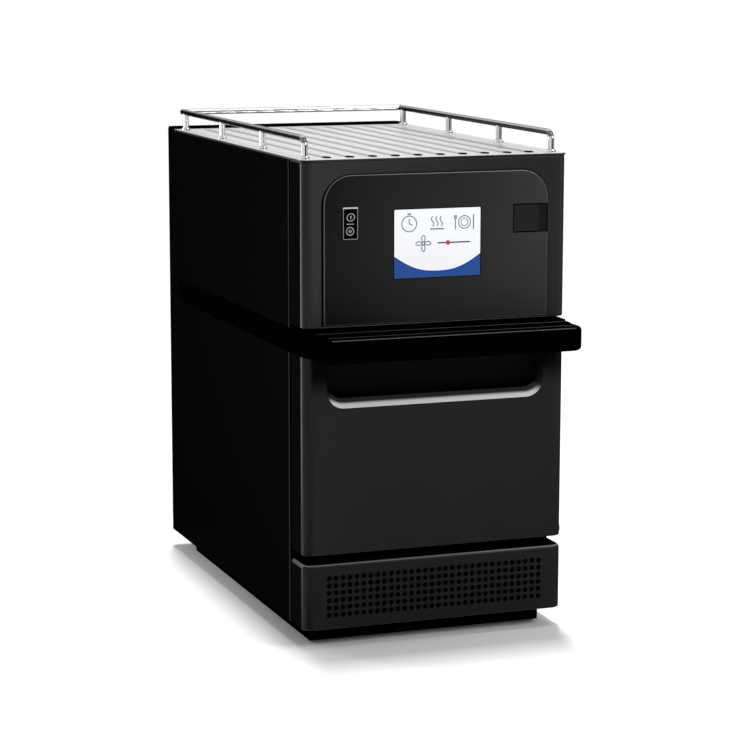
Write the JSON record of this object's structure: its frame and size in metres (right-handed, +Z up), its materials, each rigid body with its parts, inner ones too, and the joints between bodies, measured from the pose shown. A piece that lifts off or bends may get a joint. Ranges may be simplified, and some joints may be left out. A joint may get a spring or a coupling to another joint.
{
  "type": "countertop speed oven",
  "caption": "Tall narrow countertop speed oven with a drop-down door, a full-width handle, an arched touch-screen panel, a perforated air filter panel and a grooved top plate with a guard rail.",
  "frame": {"origin": "floor level, under the middle of the oven's whole footprint, handle and cable gland included", "axes": "+Z up, -Y is the front with the door, +X is the oven's right side as seen by a cook facing it"},
  "size_m": [0.356, 0.686, 0.646],
  "materials": {
    "black_steel": "satin black powder coat",
    "charcoal": "fine-textured charcoal moulding",
    "gloss_black": "semi-gloss black moulding",
    "stainless": "brushed stainless steel",
    "polished_steel": "polished steel rod",
    "white_steel": "bright bead-blasted steel",
    "cast_aluminium": "cast aluminium",
    "rubber": "black rubber",
    "silicone": "grey silicone",
    "screen_glass": null,
    "filter_mesh": "open filter foam",
    "laminations": "varnished core laminations",
    "board_green": "green circuit board",
    "heater_sheath": "heat-tinted steel sheath"
  },
  "bodies": {
    "casing": {"plinth": "gloss_black", "foot_front_left": "rubber", "foot_front_right": "rubber", "foot_rear_left": "rubber", "foot_rear_right": "rubber", "base_tray": "black_steel", "side_panel_left": "black_steel", "side_panel_right": "black_steel", "belt_trim_left": "gloss_black", "belt_trim_right": "gloss_black", "front_bulkhead": "black_steel", "roof_panel": "black_steel", "rear_cover": "black_steel", "cable_gland": "rubber", "top_plate": "white_steel", "rail_left": "polished_steel", "rail_right": "polished_steel", "rail_rear": "polished_steel", "rail_post_left_1": "polished_steel", "rail_post_left_2": "polished_steel", "rail_post_left_3": "polished_steel", "rail_post_right_1": "polished_steel", "rail_post_right_2": "polished_steel", "rail_post_right_3": "polished_steel", "control_fascia": "charcoal", "control_panel": "charcoal", "touch_screen": "screen_glass", "switch_housing": "gloss_black", "usb_socket": "stainless", "hinge_arm_left": "stainless", "hinge_arm_right": "stainless", "interlock_switch": "gloss_black", "cavity_liner": "stainless", "jet_plate": "stainless", "hot_air_plenum": "stainless", "heating_element": "heater_sheath", "fan_motor": "cast_aluminium", "stirrer_motor": "cast_aluminium", "waveguide": "stainless", "magnetron": "cast_aluminium", "hv_transformer": "laminations", "hv_capacitor": "cast_aluminium", "cooling_fan_frame": "gloss_black", "control_board": "board_green", "power_board": "board_green"},
    "door": {"door_shell": "charcoal", "door_lining": "stainless", "door_seal": "silicone", "door_handle": "gloss_black", "door_latch": "stainless", "hinge_pin_left": "stainless", "hinge_pin_right": "stainless"},
    "rocker": {"power_rocker": "gloss_black"},
    "usb_cover": {"usb_flap": "gloss_black"},
    "filter_panel": {"air_filter_panel": "charcoal", "filter_mesh": "filter_mesh"},
    "convection_wheel": {"convection_fan": "stainless"},
    "stirrer": {"mode_stirrer": "stainless"},
    "cooling_rotor": {"cooling_fan": "gloss_black"},
    "cook_tray": {"cook_plate": "cast_aluminium"}
  },
  "joints": [
    {"name": "door_hinge", "type": "hinge", "parent": "casing", "child": "door", "pos_m": [0, -0.267, 0.1306], "axis": [1, 0, 0], "range_deg": [0, 90]},
    {"name": "power_switch", "type": "hinge", "parent": "casing", "child": "rocker", "pos_m": [-0.116, -0.274, 0.5385], "axis": [-1, 0, 0], "range_deg": [0, 16]},
    {"name": "usb_cover_hinge", "type": "hinge", "parent": "casing", "child": "usb_cover", "pos_m": [0.1048, -0.2778, 0.537], "axis": [0, 0, -1], "range_deg": [0, 110]},
    {"name": "filter_panel_slide", "type": "slide", "parent": "casing", "child": "filter_panel", "axis": [0, -1, 0], "range_m": [0, 0.06]},
    {"name": "convection_fan_spin", "type": "hinge", "parent": "casing", "child": "convection_wheel", "pos_m": [0, 0.1217, 0.2465], "axis": [0, 1, 0], "continuous": true},
    {"name": "stirrer_spin", "type": "hinge", "parent": "casing", "child": "stirrer", "pos_m": [0.07, -0.099, 0.3297], "axis": [0, 0, 1], "continuous": true},
    {"name": "cooling_fan_spin", "type": "hinge", "parent": "casing", "child": "cooling_rotor", "pos_m": [0, -0.2261, 0.0673], "axis": [0, 1, 0], "continuous": true},
    {"name": "cook_plate_lift", "type": "slide", "parent": "casing", "child": "cook_tray", "axis": [0, 0, 1], "range_m": [0, 0.015]}
  ]
}
